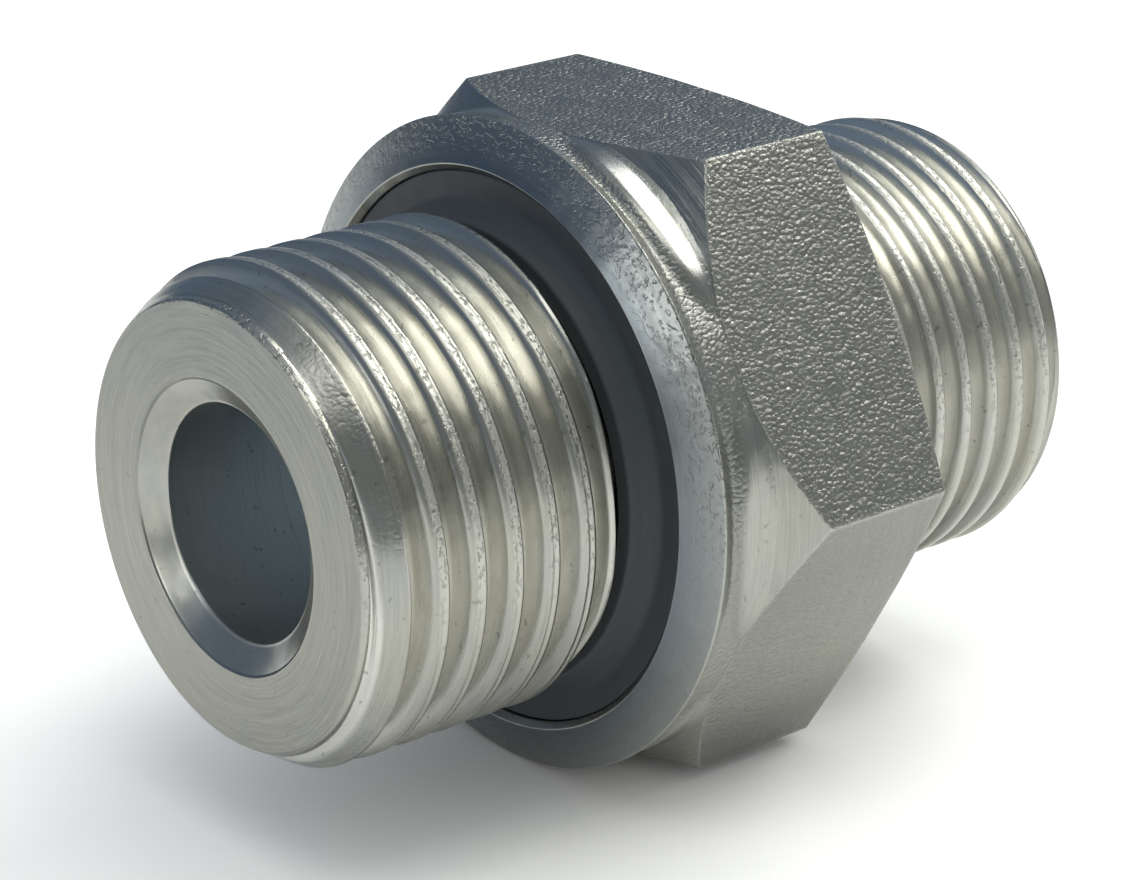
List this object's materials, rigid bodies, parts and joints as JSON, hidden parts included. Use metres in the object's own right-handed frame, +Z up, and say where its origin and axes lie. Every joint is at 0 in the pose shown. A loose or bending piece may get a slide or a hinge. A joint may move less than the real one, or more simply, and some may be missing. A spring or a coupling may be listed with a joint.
{
  "type": "hydraulic tube fitting",
  "caption": "Straight steel adapter with a parallel threaded stud and captive face seal, a wrench hexagon and a second threaded stud, with a bore right through.",
  "frame": {"origin": "middle of the fitting's length, on the surface that it lies on, below the axis", "axes": "+Y along the bore from the sealed stud to the far stud, +Z up, square to a flat of the hexagon"},
  "size_m": [0.031, 0.0378, 0.0282],
  "materials": {
    "plated_steel": "bright zinc plating over turned and forged steel",
    "seal_rubber": "moulded elastomer, satin"
  },
  "bodies": {
    "root": {"fitting_body": "plated_steel", "seal_ring": "seal_rubber"}
  },
  "joints": []
}
